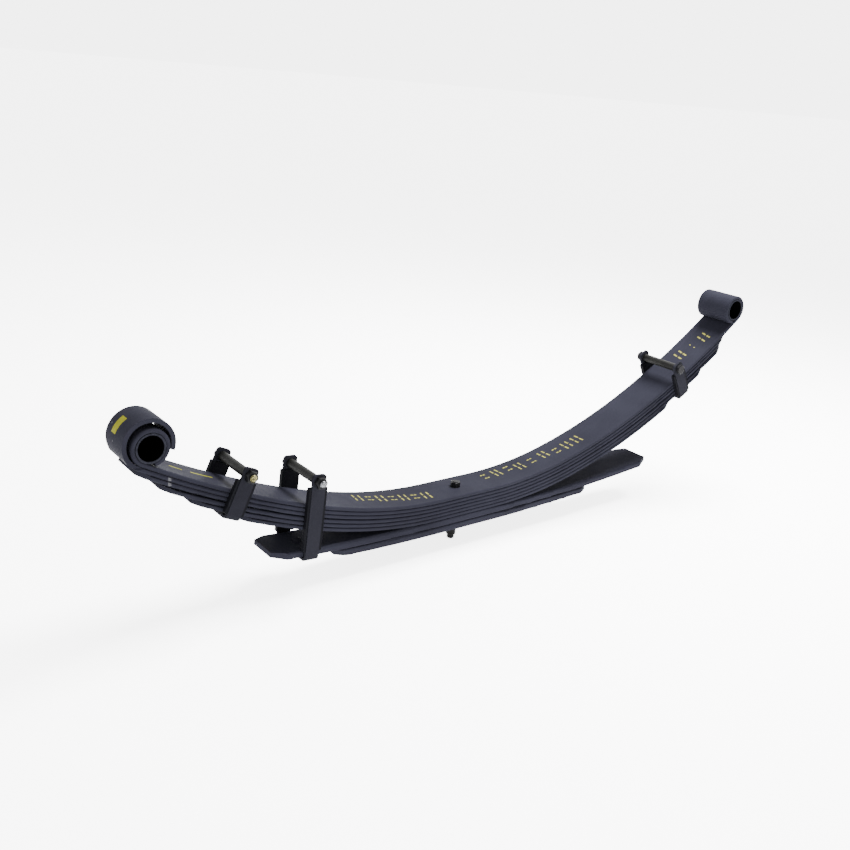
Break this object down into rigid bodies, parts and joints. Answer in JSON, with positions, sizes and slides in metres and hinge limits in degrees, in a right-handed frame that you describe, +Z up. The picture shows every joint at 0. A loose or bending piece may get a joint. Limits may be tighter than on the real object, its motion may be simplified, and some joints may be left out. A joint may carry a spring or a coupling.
{
  "type": "multi-leaf suspension spring",
  "caption": "Vehicle leaf spring: stacked curved steel leaves with rolled end eyes, a loose safety wrap, a thick overload leaf, bolted rebound clips and a centre bolt.",
  "frame": {"origin": "on the centre bolt's axis at the underside of the lowest leaf, where the spring sits on its axle pad", "axes": "+X along the spring towards the rear eye, +Y across the leaves towards the heads of the two front clips' bolts, +Z up, opposite to the locating pin"},
  "size_m": [1.2347, 0.108, 0.3748],
  "materials": {
    "leaf_paint": "satin dark blue-grey paint",
    "liner_plastic": "matte black",
    "tube_steel": "dark grey painted tube",
    "zinc_fastener": "zinc plated",
    "dark_fastener": "dark satin",
    "sleeve_steel": "dull machined steel"
  },
  "bodies": {
    "leaf_pack": {"main_leaf": "leaf_paint", "wrapper_leaf": "leaf_paint", "third_leaf": "leaf_paint", "fourth_leaf": "leaf_paint", "fifth_leaf": "leaf_paint", "sixth_leaf": "leaf_paint", "overload_leaf": "leaf_paint", "seat_leaf": "leaf_paint", "centre_bolt": "dark_fastener", "centre_bolt_nut": "dark_fastener", "front_eye_sleeve": "sleeve_steel", "rear_eye_sleeve": "sleeve_steel", "front_clip_strap": "leaf_paint", "front_clip_near_liner": "liner_plastic", "front_clip_far_liner": "liner_plastic", "front_clip_bolt": "zinc_fastener", "front_clip_nut": "dark_fastener", "front_clip_rivet": "leaf_paint", "front_clip_base_pad": "liner_plastic", "middle_clip_strap": "leaf_paint", "middle_clip_near_liner": "liner_plastic", "middle_clip_far_liner": "liner_plastic", "middle_clip_bolt": "zinc_fastener", "middle_clip_nut": "dark_fastener", "middle_clip_rivet": "leaf_paint", "rear_clip_strap": "leaf_paint", "rear_clip_near_liner": "liner_plastic", "rear_clip_far_liner": "liner_plastic", "rear_clip_bolt": "zinc_fastener", "rear_clip_nut": "dark_fastener", "rear_clip_rivet": "leaf_paint", "rear_clip_base_pad": "liner_plastic"},
    "front_clip_spacer_tube_body": {"front_clip_spacer_tube": "tube_steel"},
    "middle_clip_spacer_tube_body": {"middle_clip_spacer_tube": "tube_steel"},
    "rear_clip_spacer_tube_body": {"rear_clip_spacer_tube": "tube_steel"}
  },
  "joints": [
    {"name": "front_clip_tube_spin", "type": "hinge", "parent": "leaf_pack", "child": "front_clip_spacer_tube_body", "pos_m": [-0.40182, 0, 0.1693], "axis": [0, 1, 0], "continuous": true},
    {"name": "middle_clip_tube_spin", "type": "hinge", "parent": "leaf_pack", "child": "middle_clip_spacer_tube_body", "pos_m": [-0.2914, 0, 0.13913], "axis": [0, 1, 0], "continuous": true},
    {"name": "rear_clip_tube_spin", "type": "hinge", "parent": "leaf_pack", "child": "rear_clip_spacer_tube_body", "pos_m": [0.4807, 0, 0.21822], "axis": [0, 1, 0], "continuous": true}
  ]
}
